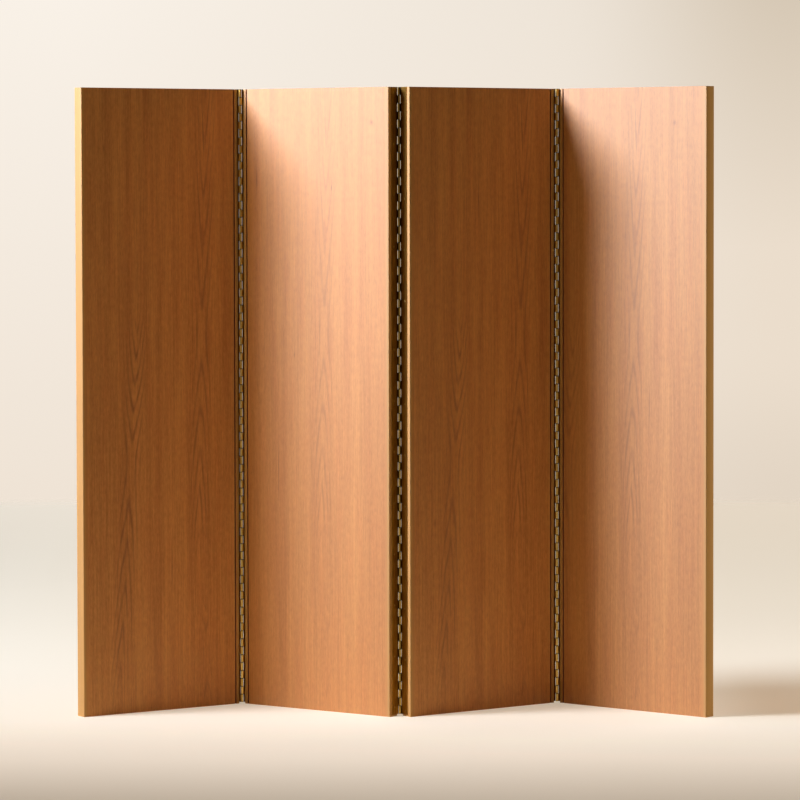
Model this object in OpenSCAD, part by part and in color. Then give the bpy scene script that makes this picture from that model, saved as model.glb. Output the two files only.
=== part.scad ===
// Folding screen of four veneered panels joined in a zigzag by continuous hinges.
// Millimetres and degrees. The panels are numbered from the left, as seen from the front.
// The left and right hinges have their knuckles in front, the centre hinge at the back.

/* [Panels] */
// height of the screen
screen_height = 1830; // [1200:5:2200]
// width of one panel, over its lippings
panel_width = 533; // [300:1:700]
// thickness of one panel, over its face boards
panel_thickness = 38; // [32:0.5:50]
// thickness of a veneered face board
face_thickness = 4; // [2:0.5:6]
// width of the solid strip along each long edge
lipping_width = 15.5; // [15:0.5:25]
// height of the rails that close a panel at its top and bottom
rail_height = 45; // [20:1:90]
// width of the open groove beside a hinged lipping
groove_width = 4.5; // [1:0.25:5]
// depth of the open groove
groove_depth = 4; // [1:0.25:6]
// chamfer on the corners of a lipping
arris = 1; // [0.25:0.25:2]

/* [Standing angles] */
// angle of the first panel from the line of the screen
panel_1_angle = 34.3; // [5:0.1:60]
// angle of the second panel
panel_2_angle = 35.7; // [5:0.1:60]
// angle of the third panel
panel_3_angle = 36.2; // [5:0.1:60]
// angle of the fourth panel
panel_4_angle = 39.6; // [5:0.1:60]

/* [Hinges] */
// gap between the floor and the lower end of a hinge
hinge_floor_gap = 5; // [2:0.5:20]
// thickness of the sheet that a leaf is bent from
leaf_thickness = 1.6; // [1.2:0.1:2.4]
// how far a leaf reaches across the end face of its panel
leaf_cover = 26; // [20:0.5:31]
// diameter of the hinge pin
pin_diameter = 4.8; // [3.6:0.1:6]
// running clearance between the pin and a knuckle, on the radius
pin_clearance = 0.05; // [0.02:0.01:0.09]
// distance from the face of a panel out to the axis of the pin
pin_stand_off = 8; // [6:0.5:12]
// how far each end of the pin lies inside the end knuckle
pin_recess = 1; // [0.5:0.5:5]
// number of knuckles on one hinge, always odd
knuckle_count = 77; // [31:2:121]
// gap between one knuckle and the next
knuckle_gap = 0.3; // [0.2:0.05:1]
// room that a leaf's notch leaves beside the other leaf's knuckle
swing_clearance = 0.3; // [0.2:0.05:1.5]
// open seam where a rolled knuckle closes on its leaf
seam_gap = 0.25; // [0.1:0.05:0.5]

/* [Screws] */
// diameter of the countersunk head
screw_head_diameter = 6.7; // [5.5:0.1:8.5]
// diameter of the shank
screw_shank_diameter = 3.5; // [2.5:0.1:4.5]
// diameter of the blunt point
screw_point_diameter = 1; // [0.6:0.1:2]
// length of the tapered point
screw_point_length = 3.5; // [2:0.5:6]
// length of the whole screw
screw_length = 13; // [10:0.5:15]
// clearance round a screw, on the radius
screw_clearance = 0.05; // [0.03:0.01:0.2]
// width of the driver slot
slot_width = 0.9; // [0.6:0.1:1.4]
// depth of the driver slot
slot_depth = 0.7; // [0.4:0.1:1]
// distance from the face on the knuckle side to the line of screws
screw_line = 14.5; // [10:0.5:15.5]
// distance wanted from one screw to the next, evened out over the row
screw_pitch = 149; // [60:1:300]
// from the upper end of the leaf left of the pin to its first screw
left_leaf_top_margin = 16; // [8:1:60]
// from its last screw to its lower end
left_leaf_bottom_margin = 21; // [8:1:60]
// from the upper end of the leaf right of the pin to its first screw
right_leaf_top_margin = 26; // [8:1:60]
// from its last screw to its lower end
right_leaf_bottom_margin = 11; // [8:1:60]

/* [Hidden] */
$fn = 64;
// how far a cutter runs past the surface that it opens
through = 0.5;
// turn of the driver slot from one screw to the next
slot_step = 67;

pin_radius = pin_diameter / 2;
bore_radius = pin_radius + pin_clearance;
knuckle_radius = bore_radius + leaf_thickness;
hinge_length = screen_height - hinge_floor_gap;
knuckle_pitch = hinge_length / knuckle_count;
// along the leaf, from the axis of the pin to the bottom of a notch
notch_reach = knuckle_radius + swing_clearance;
// turn of the seam from the end face, just past the corner of knuckle and leaf
seam_turn = acos(bore_radius / knuckle_radius) + 6;
head_slope = (screw_head_diameter - screw_shank_diameter) / 2 / leaf_thickness;

// Plan of the standing screen, worked out from the centre pin at [0, 0].
turns = [panel_1_angle, -panel_2_angle, panel_3_angle, -panel_4_angle];
// unit vector along a panel from left to right
function along(turn) = [cos(turn), sin(turn)];
// unit vector out of a panel's front face
function out_front(turn) = [sin(turn), -cos(turn)];

// from a pin to the end face of a panel, and on to the far end face
near_end = knuckle_radius;
far_end = knuckle_radius + panel_width;
// from a pin at the back to the front face
back_pin_to_front = pin_stand_off + panel_thickness;

// front left corner of each panel
corner_2 = -far_end * along(turns[1]) + back_pin_to_front * out_front(turns[1]);
corner_3 = near_end * along(turns[2]) + back_pin_to_front * out_front(turns[2]);
left_pin = corner_2 - near_end * along(turns[1]) + pin_stand_off * out_front(turns[1]);
right_pin = corner_3 + far_end * along(turns[2]) + pin_stand_off * out_front(turns[2]);
corner_1 = left_pin - far_end * along(turns[0]) - pin_stand_off * out_front(turns[0]);
corner_4 = right_pin + near_end * along(turns[3]) - pin_stand_off * out_front(turns[3]);
corners = [corner_1, corner_2, corner_3, corner_4];

// outline of one panel in plan, with its chamfered corners
panel_outline = [
    [arris, 0],
    [panel_width - arris, 0],
    [panel_width, arris],
    [panel_width, panel_thickness - arris],
    [panel_width - arris, panel_thickness],
    [arris, panel_thickness],
    [0, panel_thickness - arris],
    [0, arris],
];
function in_plan(n, p) = corners[n] + p[0] * along(turns[n]) - p[1] * out_front(turns[n]);
plan = [for (n = [0 : 3]) for (p = panel_outline) in_plan(n, p)];
plan_x = [for (p = plan) p[0]];
plan_y = [for (p = plan) p[1]];
// the middle of the plan is the origin of the screen
middle = [(min(plan_x) + max(plan_x)) / 2, (min(plan_y) + max(plan_y)) / 2];

// Places. A panel's own frame has its front left corner at the origin.
module on_panel(n) {
    translate([corners[n - 1][0] - middle[0], corners[n - 1][1] - middle[1], 0])
        rotate([0, 0, turns[n - 1]])
            children();
}

// An edge's frame: end face at x = 0, wood at x > 0, and the face on the knuckle side at y = 0.
module at_edge(n, end, face) {
    on_panel(n)
        translate([end == "right" ? panel_width : 0, face == "back" ? panel_thickness : 0, 0])
            mirror([end == "right" ? 1 : 0, 0, 0])
                mirror([0, face == "back" ? 1 : 0, 0])
                    children();
}

// margins of a row of screws, above and below it
left_leaf_margins = [left_leaf_top_margin, left_leaf_bottom_margin];
right_leaf_margins = [right_leaf_top_margin, right_leaf_bottom_margin];

// heights of the screws in one leaf, evenly spaced between its margins, from the top down
function screw_heights(margins) =
    let (span = hinge_length - margins[0] - margins[1],
         spaces = round(span / screw_pitch))
    [for (i = [0 : spaces]) screen_height - margins[0] - i * span / spaces];

// turns +Z into the wood, on the line of screws
module on_screw_line(height) {
    translate([0, screw_line, height])
        rotate([0, 90, 0])
            children();
}

// Panels
module core(n) {
    color("burlywood")
        on_panel(n)
            translate([lipping_width, face_thickness, rail_height])
                cube([panel_width - 2 * lipping_width,
                      panel_thickness - 2 * face_thickness,
                      screen_height - 2 * rail_height]);
}

module rail(n, place) {
    color("tan")
        on_panel(n)
            translate([lipping_width, face_thickness,
                       place == "top" ? screen_height - rail_height : 0])
                cube([panel_width - 2 * lipping_width,
                      panel_thickness - 2 * face_thickness,
                      rail_height]);
}

module face_board(n, face) {
    color("peru")
        on_panel(n)
            translate([lipping_width, face == "back" ? panel_thickness - face_thickness : 0, 0])
                cube([panel_width - 2 * lipping_width, face_thickness, screen_height]);
}

module lipping_profile(hinged) {
    difference() {
        polygon([
            [arris, 0],
            [lipping_width, 0],
            [lipping_width, panel_thickness],
            [arris, panel_thickness],
            [0, panel_thickness - arris],
            [0, arris],
        ]);
        if (hinged)
            translate([lipping_width - groove_width, -through])
                square([groove_width + through, groove_depth + through]);
    }
}

module plain_lipping(n, end) {
    color("sienna")
        at_edge(n, end, "front")
            linear_extrude(screen_height)
                lipping_profile(false);
}

module hinged_lipping(n, end, face, margins) {
    color("sienna")
        at_edge(n, end, face)
            difference() {
                linear_extrude(screen_height)
                    lipping_profile(true);
                for (height = screw_heights(margins))
                    on_screw_line(height)
                        pilot_hole();
            }
}

// a hole with room round the shank and past the point
module pilot_hole() {
    translate([0, 0, -through])
        cylinder(h = screw_length - leaf_thickness + screw_clearance + through,
                 r = screw_shank_diameter / 2 + screw_clearance);
}

// Hinges. A leaf is one sheet: flat on the end face, and rolled round the pin.
module rolled_edge() {
    difference() {
        circle(r = knuckle_radius);
        rotate(seam_turn)
            square([knuckle_radius + through, seam_gap]);
    }
}

module leaf_profile() {
    difference() {
        union() {
            translate([-leaf_thickness, -pin_stand_off])
                square([leaf_thickness, pin_stand_off + leaf_cover]);
            translate([-knuckle_radius, -pin_stand_off])
                rolled_edge();
        }
        translate([-knuckle_radius, -pin_stand_off])
            circle(r = bore_radius);
    }
}

// a space for one knuckle of the other leaf
module notch(k) {
    translate([-2 * knuckle_radius - through,
               -pin_stand_off - knuckle_radius - through,
               hinge_floor_gap + k * knuckle_pitch - knuckle_gap / 2])
        cube([2 * knuckle_radius + 2 * through,
              knuckle_radius + through + notch_reach,
              knuckle_pitch + knuckle_gap]);
}

module countersink() {
    translate([0, 0, -leaf_thickness - through])
        cylinder(h = leaf_thickness + 2 * through,
                 r1 = screw_head_diameter / 2 + screw_clearance + head_slope * through,
                 r2 = screw_shank_diameter / 2 + screw_clearance - head_slope * through);
}

// The leaf with the top knuckle has the bottom one too, because their number is odd.
module leaf(n, end, face, margins, top_knuckle) {
    color("darkkhaki")
        at_edge(n, end, face)
            difference() {
                translate([0, 0, hinge_floor_gap])
                    linear_extrude(hinge_length)
                        leaf_profile();
                for (k = [(top_knuckle ? 1 : 0) : 2 : knuckle_count - 1])
                    notch(k);
                for (height = screw_heights(margins))
                    on_screw_line(height)
                        countersink();
            }
}

module pin(n, end, face) {
    color("goldenrod")
        at_edge(n, end, face)
            translate([-knuckle_radius, -pin_stand_off, hinge_floor_gap + pin_recess])
                cylinder(h = hinge_length - 2 * pin_recess, r = pin_radius);
}

module screw(slot_turn) {
    difference() {
        rotate_extrude()
            polygon([
                [0, -leaf_thickness],
                [screw_head_diameter / 2, -leaf_thickness],
                [screw_shank_diameter / 2, 0],
                [screw_shank_diameter / 2, screw_length - leaf_thickness - screw_point_length],
                [screw_point_diameter / 2, screw_length - leaf_thickness],
                [0, screw_length - leaf_thickness],
            ]);
        rotate([0, 0, slot_turn])
            translate([-screw_head_diameter / 2 - through,
                       -slot_width / 2,
                       -leaf_thickness - through])
                cube([screw_head_diameter + 2 * through, slot_width, slot_depth + through]);
    }
}

module screws(n, end, face, margins) {
    color("gold")
        at_edge(n, end, face)
            for (i = [0 : len(screw_heights(margins)) - 1])
                on_screw_line(screw_heights(margins)[i])
                    screw(i * slot_step);
}

core(1);  // panel_1_core
face_board(1, "front");  // panel_1_front_board
face_board(1, "back");  // panel_1_back_board
plain_lipping(1, "left");  // panel_1_left_lipping
hinged_lipping(1, "right", "front", left_leaf_margins);  // panel_1_right_lipping
rail(1, "top");  // panel_1_top_rail
rail(1, "bottom");  // panel_1_bottom_rail

core(2);  // panel_2_core
face_board(2, "front");  // panel_2_front_board
face_board(2, "back");  // panel_2_back_board
hinged_lipping(2, "left", "front", right_leaf_margins);  // panel_2_left_lipping
hinged_lipping(2, "right", "back", left_leaf_margins);  // panel_2_right_lipping
rail(2, "top");  // panel_2_top_rail
rail(2, "bottom");  // panel_2_bottom_rail

core(3);  // panel_3_core
face_board(3, "front");  // panel_3_front_board
face_board(3, "back");  // panel_3_back_board
hinged_lipping(3, "left", "back", right_leaf_margins);  // panel_3_left_lipping
hinged_lipping(3, "right", "front", left_leaf_margins);  // panel_3_right_lipping
rail(3, "top");  // panel_3_top_rail
rail(3, "bottom");  // panel_3_bottom_rail

core(4);  // panel_4_core
face_board(4, "front");  // panel_4_front_board
face_board(4, "back");  // panel_4_back_board
hinged_lipping(4, "left", "front", right_leaf_margins);  // panel_4_left_lipping
plain_lipping(4, "right");  // panel_4_right_lipping
rail(4, "top");  // panel_4_top_rail
rail(4, "bottom");  // panel_4_bottom_rail

leaf(1, "right", "front", left_leaf_margins, true);  // left_hinge_left_leaf
leaf(2, "left", "front", right_leaf_margins, false);  // left_hinge_right_leaf
pin(2, "left", "front");  // left_hinge_pin
screws(1, "right", "front", left_leaf_margins);  // left_hinge_left_screws
screws(2, "left", "front", right_leaf_margins);  // left_hinge_right_screws

leaf(2, "right", "back", left_leaf_margins, false);  // centre_hinge_left_leaf
leaf(3, "left", "back", right_leaf_margins, true);  // centre_hinge_right_leaf
pin(2, "right", "back");  // centre_hinge_pin
screws(2, "right", "back", left_leaf_margins);  // centre_hinge_left_screws
screws(3, "left", "back", right_leaf_margins);  // centre_hinge_right_screws

leaf(3, "right", "front", left_leaf_margins, false);  // right_hinge_left_leaf
leaf(4, "left", "front", right_leaf_margins, true);  // right_hinge_right_leaf
pin(3, "right", "front");  // right_hinge_pin
screws(3, "right", "front", left_leaf_margins);  // right_hinge_left_screws
screws(4, "left", "front", right_leaf_margins);  // right_hinge_right_screws
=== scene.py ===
# Folding screen of four veneered panels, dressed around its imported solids.
# Metres. A panel's own frame has its front left corner at the origin:
# x runs along its width, y into its thickness, z up.
import math

import bmesh
import bpy
from mathutils import Matrix, Vector


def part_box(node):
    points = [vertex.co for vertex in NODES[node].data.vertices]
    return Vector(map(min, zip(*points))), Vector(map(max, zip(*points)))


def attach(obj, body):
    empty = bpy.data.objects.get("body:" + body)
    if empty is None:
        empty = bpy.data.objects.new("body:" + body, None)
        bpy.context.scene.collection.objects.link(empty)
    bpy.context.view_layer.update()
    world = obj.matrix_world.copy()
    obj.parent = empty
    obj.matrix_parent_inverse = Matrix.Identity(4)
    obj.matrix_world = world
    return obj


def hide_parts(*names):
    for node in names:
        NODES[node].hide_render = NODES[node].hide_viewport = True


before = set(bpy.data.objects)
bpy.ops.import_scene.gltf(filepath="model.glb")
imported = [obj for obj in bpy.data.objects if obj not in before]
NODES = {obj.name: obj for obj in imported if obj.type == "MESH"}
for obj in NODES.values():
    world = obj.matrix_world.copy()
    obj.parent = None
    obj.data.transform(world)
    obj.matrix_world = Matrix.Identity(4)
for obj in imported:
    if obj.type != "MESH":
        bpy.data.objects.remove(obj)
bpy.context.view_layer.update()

MM = 0.001
PANELS = ("panel_1", "panel_2", "panel_3", "panel_4")

# Sizes that the solids are drawn to.
ARRIS = 1.0 * MM
LEAF_THICKNESS = 1.6 * MM
LEAF_COVER = 26 * MM
PIN_RADIUS = 2.4 * MM
BORE_RADIUS = 2.45 * MM
KNUCKLE_RADIUS = BORE_RADIUS + LEAF_THICKNESS
PIN_STAND_OFF = 8 * MM
PIN_RECESS = 1 * MM
KNUCKLES = 77
KNUCKLE_GAP = 0.3 * MM
SWING_CLEARANCE = 0.3 * MM
SEAM_GAP = 0.25 * MM
# the seam lies just past the corner between knuckle and leaf
SEAM_PAST_CORNER = math.radians(6)
KNUCKLE_EDGE_ROUND = 0.3 * MM
ROLL_POINTS = 20
SEAM_TURN = (math.acos(BORE_RADIUS / KNUCKLE_RADIUS) + SEAM_PAST_CORNER
             + SEAM_GAP / (BORE_RADIUS + LEAF_THICKNESS / 2))
GROOVE_WIDTH = 4.5 * MM
GROOVE_DEPTH = 4 * MM
SCREW_LINE = 14.5 * MM
SCREW_CLEARANCE = 0.05 * MM
SCREWS_IN_ROW = 13
HEAD_DIAMETER = 6.7 * MM
SHANK_DIAMETER = 3.5 * MM
POINT_DIAMETER = 1.0 * MM
POINT_LENGTH = 3.5 * MM
SCREW_LENGTH = 13 * MM
SLOT_WIDTH = 0.9 * MM
SLOT_DEPTH = 0.7 * MM
SLOT_STEP = math.radians(67)
HEAD_RIM = 0.2 * MM
# how many sides the round pieces have
HOLE_SIDES = 24
SCREW_SIDES = 20
PIN_SIDES = 28
# how far the edges are softened
BOARD_SOFTNESS = 0.15 * MM
STRIP_SOFTNESS = 0.3 * MM
RAIL_SOFTNESS = 0.2 * MM
PLATE_SOFTNESS = 0.25 * MM
PIN_SOFTNESS = 0.5 * MM
# Angles, in degrees, over which an edge is shaded sharp. A softened edge of a board stays
# crisp, so that the flat beside it isn't shaded round.
FLAT = 15
SCREW_SHARP = 30
SHARP = 35
LEFT_LEAF_MARGINS = (16 * MM, 21 * MM)
RIGHT_LEAF_MARGINS = (26 * MM, 11 * MM)


# Places

def panel_place(body):
    """The panel's frame, read from the solid of its front board and of its left lipping."""
    board = NODES[body + "_front_board"]
    points = {(round(v.co.x, 6), round(v.co.y, 6)) for v in board.data.vertices}
    points = [Vector(p) for p in sorted(points)]
    sides = [b - a for a in points for b in points if b.x > a.x]
    short = min(sides, key=lambda d: d.length)
    # of the sides longer than that, the one square to it runs along the panel
    along = min((d.normalized() for d in sides if d.length > 2 * short.length),
                key=lambda d: abs(d.dot(short)))
    into = Vector((-along.y, along.x))
    lipping = NODES[body + "_left_lipping"]
    corners = [v.co.xy for v in lipping.data.vertices]
    back = [v.co.xy for v in NODES[body + "_back_board"].data.vertices]
    left = min(c.dot(along) for c in corners)
    front = min(p.dot(into) for p in points)
    right = max(v.co.xy.dot(along) for v in NODES[body + "_right_lipping"].data.vertices)
    origin = left * along + front * into
    place = Matrix((
        (along.x, into.x, 0, origin.x),
        (along.y, into.y, 0, origin.y),
        (0, 0, 1, 0),
        (0, 0, 0, 1),
    ))
    return {
        "place": place,
        "turn": math.atan2(along.y, along.x),
        "origin": Vector((origin.x, origin.y, 0)),
        "width": right - left,
        "thickness": max(p.dot(into) for p in back) - front,
    }


PLACES = {body: panel_place(body) for body in PANELS}
SCREEN_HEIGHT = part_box("panel_1_front_board")[1].z
PANEL_WIDTH = PLACES["panel_1"]["width"]
PANEL_THICKNESS = PLACES["panel_1"]["thickness"]
FLOOR_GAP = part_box("left_hinge_left_leaf")[0].z
HINGE_LENGTH = SCREEN_HEIGHT - FLOOR_GAP
KNUCKLE_PITCH = HINGE_LENGTH / KNUCKLES


def edge_place(body, end, face):
    """An edge's frame: end face at x = 0, wood at x > 0, face on the knuckle side at y = 0."""
    x = PANEL_WIDTH if end == "right" else 0
    y = PANEL_THICKNESS if face == "back" else 0
    sides = Matrix.Diagonal((-1 if end == "right" else 1, -1 if face == "back" else 1, 1, 1))
    return PLACES[body]["place"] @ Matrix.Translation((x, y, 0)) @ sides


def size_in_panel(body, node):
    """Lowest and highest corner of a node, in its panel's frame."""
    home = PLACES[body]["place"].inverted()
    points = [home @ v.co for v in NODES[node].data.vertices]
    low = Vector([min(p[i] for p in points) for i in range(3)])
    high = Vector([max(p[i] for p in points) for i in range(3)])
    return low, high


LIPPING_WIDTH = size_in_panel("panel_1", "panel_1_left_lipping")[1].x


# Meshes

def piece(name, bm, place=None, sharp_angle=SHARP):
    """A mesh object with its place in its mesh and its faces pointing outwards."""
    mesh = bpy.data.meshes.new(name)
    bm.to_mesh(mesh)
    bm.free()
    obj = bpy.data.objects.new(name, mesh)
    bpy.context.scene.collection.objects.link(obj)
    if place is not None:
        put(obj, place)
    smooth(mesh, sharp_angle)
    return obj


def put(obj, place):
    obj.data.transform(place)
    if place.determinant() < 0:
        obj.data.flip_normals()


def smooth(mesh, angle):
    mesh.shade_smooth()
    mesh.set_sharp_from_angle(angle=math.radians(angle))


def prism(outline, bottom, top, softness):
    """An upright solid over a plan outline, with every sharp edge softened."""
    bm = bmesh.new()
    lower = [bm.verts.new((x, y, bottom)) for x, y in outline]
    upper = [bm.verts.new((x, y, top)) for x, y in outline]
    bm.faces.new(list(reversed(lower)))
    bm.faces.new(upper)
    n = len(outline)
    for i in range(n):
        j = (i + 1) % n
        bm.faces.new((lower[i], lower[j], upper[j], upper[i]))
    bmesh.ops.recalc_face_normals(bm, faces=bm.faces)
    bmesh.ops.bevel(bm, geom=list(bm.edges), offset=softness, offset_type="OFFSET",
                    segments=2, profile=0.5, affect="EDGES", clamp_overlap=True)
    return bm


def rectangle(low, high):
    return [(low.x, low.y), (high.x, low.y), (high.x, high.y), (low.x, high.y)]


def finish_mesh(obj):
    """Turns what the modifiers make into the object's own plain mesh."""
    deps = bpy.context.evaluated_depsgraph_get()
    mesh = bpy.data.meshes.new_from_object(obj.evaluated_get(deps), depsgraph=deps)
    obj.modifiers.clear()
    old = obj.data
    obj.data = mesh
    mesh.name = obj.name
    bpy.data.meshes.remove(old)


def add(obj, body, slot, material, *replaced):
    obj.data.materials.clear()
    obj.data.materials.append(material)
    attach(obj, body)
    if replaced:
        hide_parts(*replaced)


# Materials

class Wiring:
    """Adds nodes to a tree and feeds them, with values or from other nodes."""

    def new(self, kind, **settings):
        node = self.tree.nodes.new(kind)
        for key, value in settings.items():
            setattr(node, key, value)
        return node

    def feed(self, socket, value):
        if isinstance(value, bpy.types.NodeSocket):
            self.tree.links.new(value, socket)
        else:
            socket.default_value = value

    def math(self, operation, a, b=0.0, c=0.0, clamp=False):
        node = self.new("ShaderNodeMath", operation=operation, use_clamp=clamp)
        for socket, value in zip(node.inputs, (a, b, c)):
            self.feed(socket, value)
        return node.outputs[0]

    def joined(self, x, y, z):
        node = self.new("ShaderNodeCombineXYZ")
        for socket, value in zip(node.inputs, (x, y, z)):
            self.feed(socket, value)
        return node.outputs[0]


class Shop(Wiring):
    """Wires up the nodes of one material, or of the world."""

    def __init__(self, owner):
        owner.use_nodes = True
        self.owner = owner
        self.tree = owner.node_tree
        self.tree.nodes.clear()

    def remap(self, value, low, high, to_low=0.0, to_high=1.0, smooth=True):
        node = self.new("ShaderNodeMapRange",
                        interpolation_type="SMOOTHSTEP" if smooth else "LINEAR")
        for key, given in (("Value", value), ("From Min", low), ("From Max", high),
                           ("To Min", to_low), ("To Max", to_high)):
            self.feed(node.inputs[key], given)
        return node.outputs["Result"]

    def split(self, vector):
        node = self.new("ShaderNodeSeparateXYZ")
        self.feed(node.inputs[0], vector)
        return node.outputs

    def stretched(self, vector, scale, shift=(0, 0, 0)):
        node = self.new("ShaderNodeMapping")
        self.feed(node.inputs["Vector"], vector)
        node.inputs["Scale"].default_value = scale
        node.inputs["Location"].default_value = shift
        return node.outputs[0]

    def noise(self, vector, detail=2.0, rough=0.5):
        node = self.new("ShaderNodeTexNoise")
        self.feed(node.inputs["Vector"], vector)
        for key, value in (("Scale", 1.0), ("Detail", detail), ("Roughness", rough)):
            node.inputs[key].default_value = value
        return node.outputs["Fac"]

    def blend(self, amount, first, second, kind="MIX"):
        node = self.new("ShaderNodeMix", data_type="RGBA", blend_type=kind, clamp_factor=True)
        self.feed(node.inputs[0], amount)
        self.feed(node.inputs[6], first)
        self.feed(node.inputs[7], second)
        return node.outputs[2]

    def object_coords(self):
        return self.new("ShaderNodeTexCoord").outputs["Object"]

    def panel_coords(self, body):
        """Object coordinates, turned into the panel's own frame."""
        node = self.new("ShaderNodeMapping", vector_type="TEXTURE")
        self.feed(node.inputs["Vector"], self.object_coords())
        node.inputs["Location"].default_value = PLACES[body]["origin"]
        node.inputs["Rotation"].default_value = (0, 0, PLACES[body]["turn"])
        return node.outputs[0]

    def surface(self, colour, rough, relief, relief_depth, **constant):
        """Ends the material: a plain shader with a relief in its surface."""
        shader = self.new("ShaderNodeBsdfPrincipled")
        self.feed(shader.inputs["Base Color"], colour)
        self.feed(shader.inputs["Roughness"], rough)
        for key, value in constant.items():
            shader.inputs[key.replace("_", " ")].default_value = value
        bump = self.new("ShaderNodeBump")
        bump.inputs["Strength"].default_value = 1.0
        bump.inputs["Distance"].default_value = relief_depth
        self.feed(bump.inputs["Height"], relief)
        self.feed(shader.inputs["Normal"], bump.outputs[0])
        out = self.new("ShaderNodeOutputMaterial")
        self.feed(out.inputs["Surface"], shader.outputs[0])
        return self.owner


def material_shop(name):
    return Shop(bpy.data.materials.new(name))


def srgb(r, g, b):
    """A colour as it is read off a screen, turned into light values."""
    def light(v):
        v /= 255
        return v / 12.92 if v <= 0.04045 else ((v + 0.055) / 1.055) ** 2.4
    return (light(r), light(g), light(b), 1.0)


# Wood

# Crown figures of the veneer: place across the leaf (x) and height (z) of the middle, rise per
# ring above and below it, number of rings, width, strength (depth), and how far it leans.
FIGURES = (
    {"x": 0.160, "z": 0.727, "above": 0.075, "below": 0.120, "rings": 5.5,
     "width": 0.046, "depth": 1.0, "lean": -0.062},
    {"x": 0.406, "z": 1.104, "above": 0.150, "below": 0.120, "rings": 5.4,
     "width": 0.046, "depth": 0.85, "lean": -0.02},
    {"x": 0.418, "z": 0.160, "above": 0.055, "below": 0.070, "rings": 2.6,
     "width": 0.022, "depth": 0.55, "lean": 0.03},
)
# a satin lacquer over the stain
LACQUER = {"IOR": 1.5, "Coat_Weight": 1.0, "Coat_Roughness": 0.6, "Coat_IOR": 1.5}
RING_WIDTH = 10.5 * MM
# over this height the middle of a figure is rounded
SADDLE = 60 * MM
# how pointed the rings' tips are: 1 is a straight V, 2 a round arch
TIP = 1.4
LIGHT_WOOD = srgb(231, 162, 86)
DARK_WOOD = srgb(195, 123, 52)
STRIP_LIGHT = srgb(222, 168, 94)
STRIP_DARK = srgb(202, 146, 72)
# painted shade: the dark colour given to the inside of the groove beside a hinge
GROOVE_SHADE_PAINT = srgb(112, 54, 20)
# the stain on the panels runs out over the strip, this far from the panel's end
STAIN_RUNS_OUT = (5 * MM, 11 * MM)
# what the wood's colour is multiplied by, where these marks lie
RING_TINT = (0.60, 0.47, 0.42, 1.0)
RED_TINT = (1.03, 0.90, 0.84, 1.0)
FLECK_TINT = (0.66, 0.52, 0.44, 1.0)
PORE_TINT = (0.62, 0.50, 0.42, 1.0)
# how strongly each of the figures shows, panel by panel
FIGURE_STRENGTH = {
    "panel_1": (1.0, 1.0, 1.0), "panel_2": (0.12, 0.55, 0.4),
    "panel_3": (0.8, 0.9, 0.8), "panel_4": (0.5, 0.75, 0.6),
}
# no two leaves of veneer take the lacquer quite alike
LEAF_TINT = {
    "panel_1": (1.0, 1.0, 1.0, 1), "panel_2": (1.0, 0.96, 0.93, 1),
    "panel_3": (1.04, 1.02, 0.98, 1), "panel_4": (0.90, 0.865, 0.80, 1),
}
# how marked the grain is on each panel
GRAIN = {"panel_1": 1.2, "panel_2": 0.78, "panel_3": 1.15, "panel_4": 0.95}
# dark flecks of each panel: place across, height, width and length
FLECKS = {
    "panel_1": ((0.075, 1.655, 0.002, 0.012), (0.300, 0.420, 0.0015, 0.060)),
    "panel_2": ((0.051, 1.561, 0.003, 0.030), (0.327, 1.538, 0.002, 0.008),
                (0.189, 1.046, 0.002, 0.008), (0.472, 1.728, 0.006, 0.007),
                (0.130, 0.700, 0.0015, 0.090)),
    "panel_3": ((0.090, 0.560, 0.003, 0.010), (0.250, 1.500, 0.0015, 0.040)),
    "panel_4": ((0.420, 1.725, 0.004, 0.007), (0.330, 0.900, 0.0015, 0.050)),
}


def figure_lines(shop, x, z, wobble, jitter, figure, share):
    """Dark late-wood lines of one crown figure: nested Vs above its middle, arches below."""
    rise = shop.math("SUBTRACT", z, figure["z"])
    leaning = shop.math("MULTIPLY", rise, figure["lean"])
    across = shop.math("SUBTRACT", x, figure["x"])
    across = shop.math("ADD", across, leaning)
    across = shop.math("ABSOLUTE", shop.math("ADD", across, wobble))
    rounded = shop.math("SQRT", shop.math(
        "ADD", shop.math("MULTIPLY", rise, rise), SADDLE ** 2))
    rounded = shop.math("SUBTRACT", rounded, SADDLE)
    upper = shop.math("GREATER_THAN", rise, 0.0)
    rate = shop.math("MULTIPLY_ADD", upper, 1 / figure["above"] - 1 / figure["below"],
                     1 / figure["below"])
    depth = shop.math("SUBTRACT", figure["rings"], shop.math("MULTIPLY", rounded, rate))
    depth = shop.math("MAXIMUM", depth, 0.0)
    sideways = shop.math("DIVIDE", across, RING_WIDTH)
    ring = shop.math("ADD", shop.math("POWER", sideways, TIP), shop.math("POWER", depth, TIP))
    ring = shop.math("ADD", shop.math("POWER", ring, 1 / TIP), jitter)
    wave = shop.math("COSINE", shop.math("MULTIPLY", ring, 2 * math.pi))
    line = shop.math("POWER", shop.math("MULTIPLY_ADD", wave, 0.5, 0.5), 3.0)
    near = shop.remap(across, figure["width"] * 0.25, figure["width"], 1.0, 0.0)
    inside = shop.remap(depth, 0.0, 1.6, 0.15, 1.0)
    strength = shop.math("MULTIPLY", near, inside)
    strength = shop.math("MULTIPLY", strength, figure["depth"] * share)
    return shop.math("MULTIPLY", line, strength)


def fleck_marks(shop, x, z, body):
    """Short dark marks, densest in their middle."""
    marks = None
    for across, height, width, length in FLECKS[body]:
        u = shop.math("DIVIDE", shop.math("SUBTRACT", x, across), width)
        v = shop.math("DIVIDE", shop.math("SUBTRACT", z, height), length)
        away = shop.math("ADD", shop.math("MULTIPLY", u, u), shop.math("MULTIPLY", v, v))
        mark = shop.math("EXPONENT", shop.math("MULTIPLY", away, -1.0))
        marks = mark if marks is None else shop.math("MAXIMUM", marks, mark)
    return marks


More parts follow.
